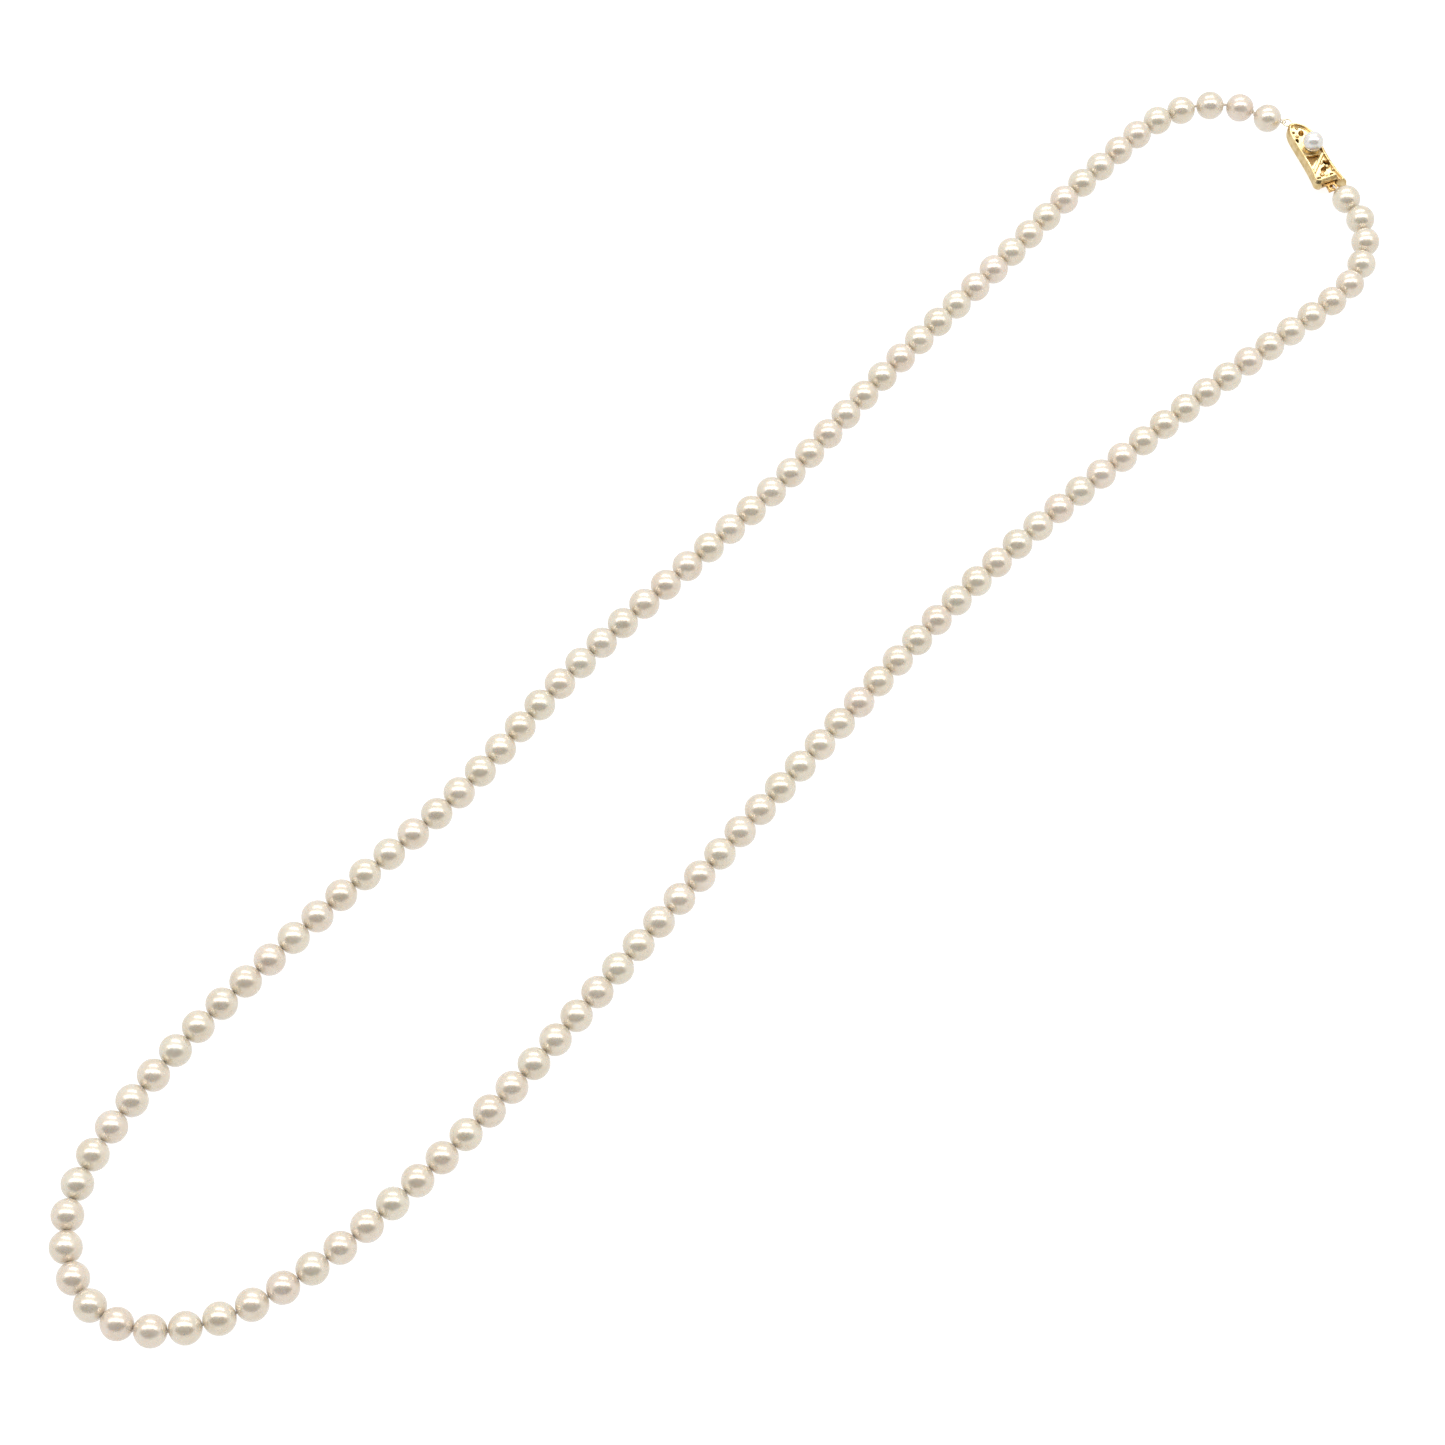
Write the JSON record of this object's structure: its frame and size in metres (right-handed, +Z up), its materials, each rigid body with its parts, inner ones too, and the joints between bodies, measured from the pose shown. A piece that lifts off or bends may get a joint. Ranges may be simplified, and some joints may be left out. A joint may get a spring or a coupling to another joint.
{
  "type": "pearl necklace",
  "caption": "Opera-length single strand of round cream pearls on knotted silk, closed by a small gold openwork box clasp that carries one pearl.",
  "frame": {"origin": "on the resting surface below the middle of the flat, closed strand's outline", "axes": "+Y along the loop from the front of the necklace toward the clasp; +X across the loop, to the right when the clasp is at the top; +Z up"},
  "size_m": [0.0705, 0.3844, 0.0084],
  "materials": {
    "strand_pearl": "gloss",
    "clasp_pearl": "gloss",
    "silk": "satin",
    "gold": "polished"
  },
  "bodies": {
    "front": {"pearls_front_1": "strand_pearl", "pearls_front_2": "strand_pearl", "pearls_front_3": "strand_pearl", "pearls_front_4": "strand_pearl", "pearls_front_5": "strand_pearl", "silk_thread": "silk"},
    "left_1": {"pearls_left_1": "strand_pearl", "pearls_left_2": "strand_pearl"},
    "left_2": {"pearls_left_3": "strand_pearl", "pearls_left_4": "strand_pearl"},
    "left_3": {"pearls_left_5": "strand_pearl", "pearls_left_6": "strand_pearl", "pearls_left_7": "strand_pearl"},
    "left_4": {"pearls_left_8": "strand_pearl", "pearls_left_9": "strand_pearl"},
    "left_5": {"pearls_left_10": "strand_pearl", "pearls_left_11": "strand_pearl"},
    "left_shoulder": {"pearls_left_12": "strand_pearl", "pearls_left_13": "strand_pearl", "pearls_left_14": "strand_pearl"},
    "left_top": {"pearls_left_15": "strand_pearl", "pearls_left_16": "strand_pearl", "pearls_left_17": "strand_pearl", "pearls_left_18": "strand_pearl", "pearls_left_19": "strand_pearl", "silk_knots_left": "silk", "silk_loop_left": "silk"},
    "right_1": {"pearls_right_1": "strand_pearl", "pearls_right_2": "strand_pearl"},
    "right_2": {"pearls_right_3": "strand_pearl", "pearls_right_4": "strand_pearl"},
    "right_3": {"pearls_right_5": "strand_pearl", "pearls_right_6": "strand_pearl", "pearls_right_7": "strand_pearl"},
    "right_4": {"pearls_right_8": "strand_pearl", "pearls_right_9": "strand_pearl"},
    "right_5": {"pearls_right_10": "strand_pearl", "pearls_right_11": "strand_pearl"},
    "right_top": {"pearls_right_12": "strand_pearl", "pearls_right_13": "strand_pearl", "pearls_right_14": "strand_pearl", "pearls_right_15": "strand_pearl", "pearls_right_16": "strand_pearl", "pearls_right_17": "strand_pearl", "silk_loop_right": "silk"},
    "tongue": {"tongue_plate": "gold"},
    "tongue_leaf": {"tongue_leaf": "gold"},
    "clasp": {"clasp_housing": "gold", "clasp_back_plate": "gold", "clasp_catch_lugs": "gold", "clasp_ring": "gold", "clasp_pearl_cup": "gold", "clasp_pearl_peg": "gold", "clasp_pearl": "clasp_pearl"}
  },
  "joints": [
    {"name": "sway_lower", "type": "hinge", "parent": "front", "child": "left_1", "pos_m": [-0.02877, -0.16381, 0.00326], "axis": [0, 0, 1], "range_deg": [-12, 12], "deforming": ["silk_thread"]},
    {"name": "sway_lower_left_2", "type": "hinge", "parent": "left_1", "child": "left_2", "pos_m": [-0.03202, -0.12447, 0.00326], "axis": [0, 0, 1], "range_deg": [-12.5, 12.5]},
    {"name": "sway_lower_right_1", "type": "hinge", "parent": "front", "child": "right_1", "pos_m": [0.02253, -0.13957, 0.00326], "axis": [0, 0, 1], "range_deg": [-14.1, 14.1]},
    {"name": "sway_lower_right_2", "type": "hinge", "parent": "right_1", "child": "right_2", "pos_m": [0.02349, -0.10005, 0.00325], "axis": [0, 0, 1], "range_deg": [-13, 13]},
    {"name": "sway_middle", "type": "hinge", "parent": "left_2", "child": "left_3", "pos_m": [-0.03044, -0.085, 0.00325], "axis": [0, 0, 1], "range_deg": [-12, 12]},
    {"name": "sway_middle_left_2", "type": "hinge", "parent": "left_3", "child": "left_4", "pos_m": [-0.03118, -0.02598, 0.00324], "axis": [0, 0, 1], "range_deg": [-13.9, 13.9]},
    {"name": "sway_middle_right_1", "type": "hinge", "parent": "right_2", "child": "right_3", "pos_m": [0.02146, -0.0606, 0.00325], "axis": [0, 0, 1], "range_deg": [-13.3, 13.3]},
    {"name": "sway_middle_right_2", "type": "hinge", "parent": "right_3", "child": "right_4", "pos_m": [0.01912, -0.00159, 0.00323], "axis": [0, 0, 1], "range_deg": [-13.7, 13.7]},
    {"name": "sway_upper", "type": "hinge", "parent": "left_4", "child": "left_5", "pos_m": [-0.03005, 0.01326, 0.00323], "axis": [0, 0, 1], "range_deg": [-12, 12]},
    {"name": "sway_upper_left_2", "type": "hinge", "parent": "left_5", "child": "left_shoulder", "pos_m": [-0.02951, 0.05237, 0.00321], "axis": [0, 0, 1], "range_deg": [-13, 13]},
    {"name": "sway_upper_right_1", "type": "hinge", "parent": "right_4", "child": "right_5", "pos_m": [0.01831, 0.03761, 0.00322], "axis": [0, 0, 1], "range_deg": [-13.8, 13.8]},
    {"name": "sway_upper_right_2", "type": "hinge", "parent": "right_5", "child": "right_top", "pos_m": [0.02059, 0.07658, 0.00321], "axis": [0, 0, 1], "range_deg": [-13.4, 13.4]},
    {"name": "tongue_swivel", "type": "hinge", "parent": "right_top", "child": "tongue", "pos_m": [0.01291, 0.18255, 0.00315], "axis": [0, 0, 1], "range_deg": [-1, 4.8]},
    {"name": "clasp_slide", "type": "slide", "parent": "tongue", "child": "clasp", "axis": [-0.915, 0.4035, 0], "range_m": [0, 0.0125], "deforming": ["tongue_leaf"]},
    {"name": "left_top_yield", "type": "hinge", "parent": "left_shoulder", "child": "left_top", "pos_m": [-0.03044, 0.11073, 0.00319], "axis": [0, 0, 1], "range_deg": [-1, 9.2]},
    {"name": "leaf_press", "type": "hinge", "parent": "tongue", "child": "tongue_leaf", "pos_m": [0.00129, 0.18767, 0.00295], "axis": [-0.4035, -0.915, 0], "range_deg": [0, 2.3], "stiffness_Nm_per_rad": 0.01}
  ],
  "couplings": [
    {"joint": "sway_lower_left_2", "follows": "sway_lower", "ratio": -0.9234},
    {"joint": "sway_lower_right_1", "follows": "sway_lower", "ratio": 1.0425},
    {"joint": "sway_lower_right_2", "follows": "sway_lower", "ratio": -0.966},
    {"joint": "sway_middle_left_2", "follows": "sway_middle", "ratio": -1.031},
    {"joint": "sway_middle_right_1", "follows": "sway_middle", "ratio": 0.9872},
    {"joint": "sway_middle_right_2", "follows": "sway_middle", "ratio": -1.0182},
    {"joint": "sway_upper_left_2", "follows": "sway_upper", "ratio": -0.9643},
    {"joint": "sway_upper_right_1", "follows": "sway_upper", "ratio": 1.0256},
    {"joint": "sway_upper_right_2", "follows": "sway_upper", "ratio": -0.99},
    {"joint": "tongue_swivel", "follows": "clasp_slide", "rad_per_m": 5.882},
    {"joint": "left_top_yield", "follows": "clasp_slide", "rad_per_m": 12.072}
  ]
}
